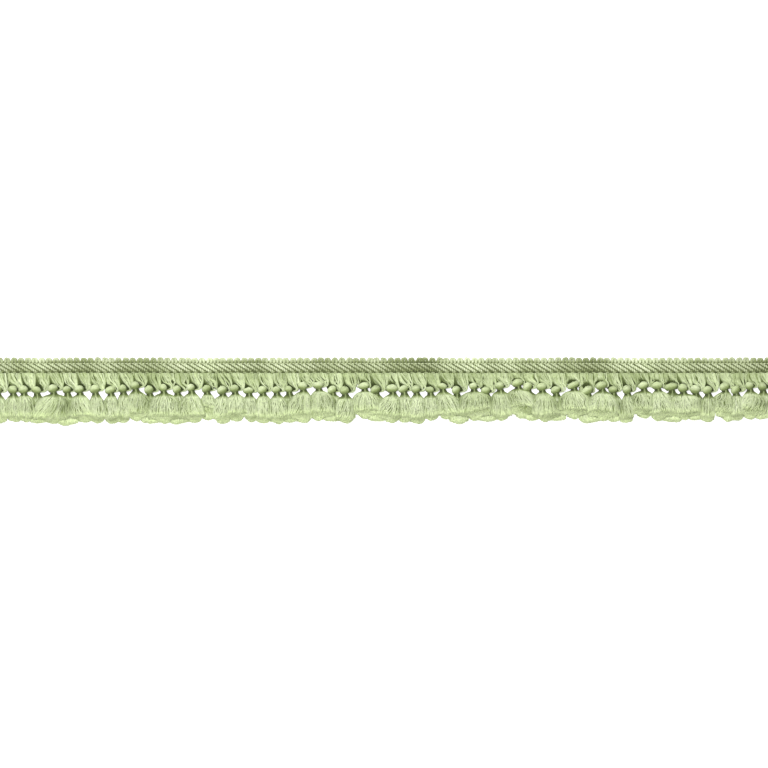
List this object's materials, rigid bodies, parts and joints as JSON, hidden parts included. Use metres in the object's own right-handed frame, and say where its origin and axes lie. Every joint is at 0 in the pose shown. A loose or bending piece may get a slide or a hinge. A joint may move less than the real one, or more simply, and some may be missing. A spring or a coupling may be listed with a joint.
{
  "type": "tassel trim",
  "caption": "Length of tassel trim lying face up: a ribbed woven heading with a looped top edge and a row of knotted yarn tassels with spread skirts, for sewing along an edge.",
  "frame": {"origin": "middle of the heading band's flat back face", "axes": "+X along the trim, +Y up its face towards the looped edge, +Z off the table, out of its face"},
  "size_m": [0.394, 0.0333, 0.006],
  "materials": {
    "braid": "matte woven yarn",
    "yarn": "soft sheen yarn"
  },
  "bodies": {
    "root": {"heading": "braid", "tassel_01": "yarn", "tassel_02": "yarn", "tassel_03": "yarn", "tassel_04": "yarn", "tassel_05": "yarn", "tassel_06": "yarn", "tassel_07": "yarn", "tassel_08": "yarn", "tassel_09": "yarn", "tassel_10": "yarn", "tassel_11": "yarn", "tassel_12": "yarn", "tassel_13": "yarn", "tassel_14": "yarn", "tassel_15": "yarn", "tassel_16": "yarn", "tassel_17": "yarn", "tassel_18": "yarn", "tassel_19": "yarn", "tassel_20": "yarn", "tassel_21": "yarn", "tassel_22": "yarn", "tassel_23": "yarn", "tassel_24": "yarn", "tassel_25": "yarn", "tassel_26": "yarn", "tassel_27": "yarn", "tassel_28": "yarn", "tassel_29": "yarn", "tassel_30": "yarn", "tassel_31": "yarn", "tassel_32": "yarn", "tassel_33": "yarn", "tassel_34": "yarn", "tassel_35": "yarn", "tassel_36": "yarn", "tassel_37": "yarn", "tassel_38": "yarn", "tassel_39": "yarn", "tassel_40": "yarn", "tassel_41": "yarn", "tassel_42": "yarn", "tassel_43": "yarn", "tassel_44": "yarn", "tassel_45": "yarn", "tassel_46": "yarn", "tassel_47": "yarn", "tassel_48": "yarn", "tassel_49": "yarn", "tassel_50": "yarn", "tassel_51": "yarn", "tassel_52": "yarn", "tassel_53": "yarn", "tassel_54": "yarn", "tassel_55": "yarn", "tassel_56": "yarn"}
  },
  "joints": []
}
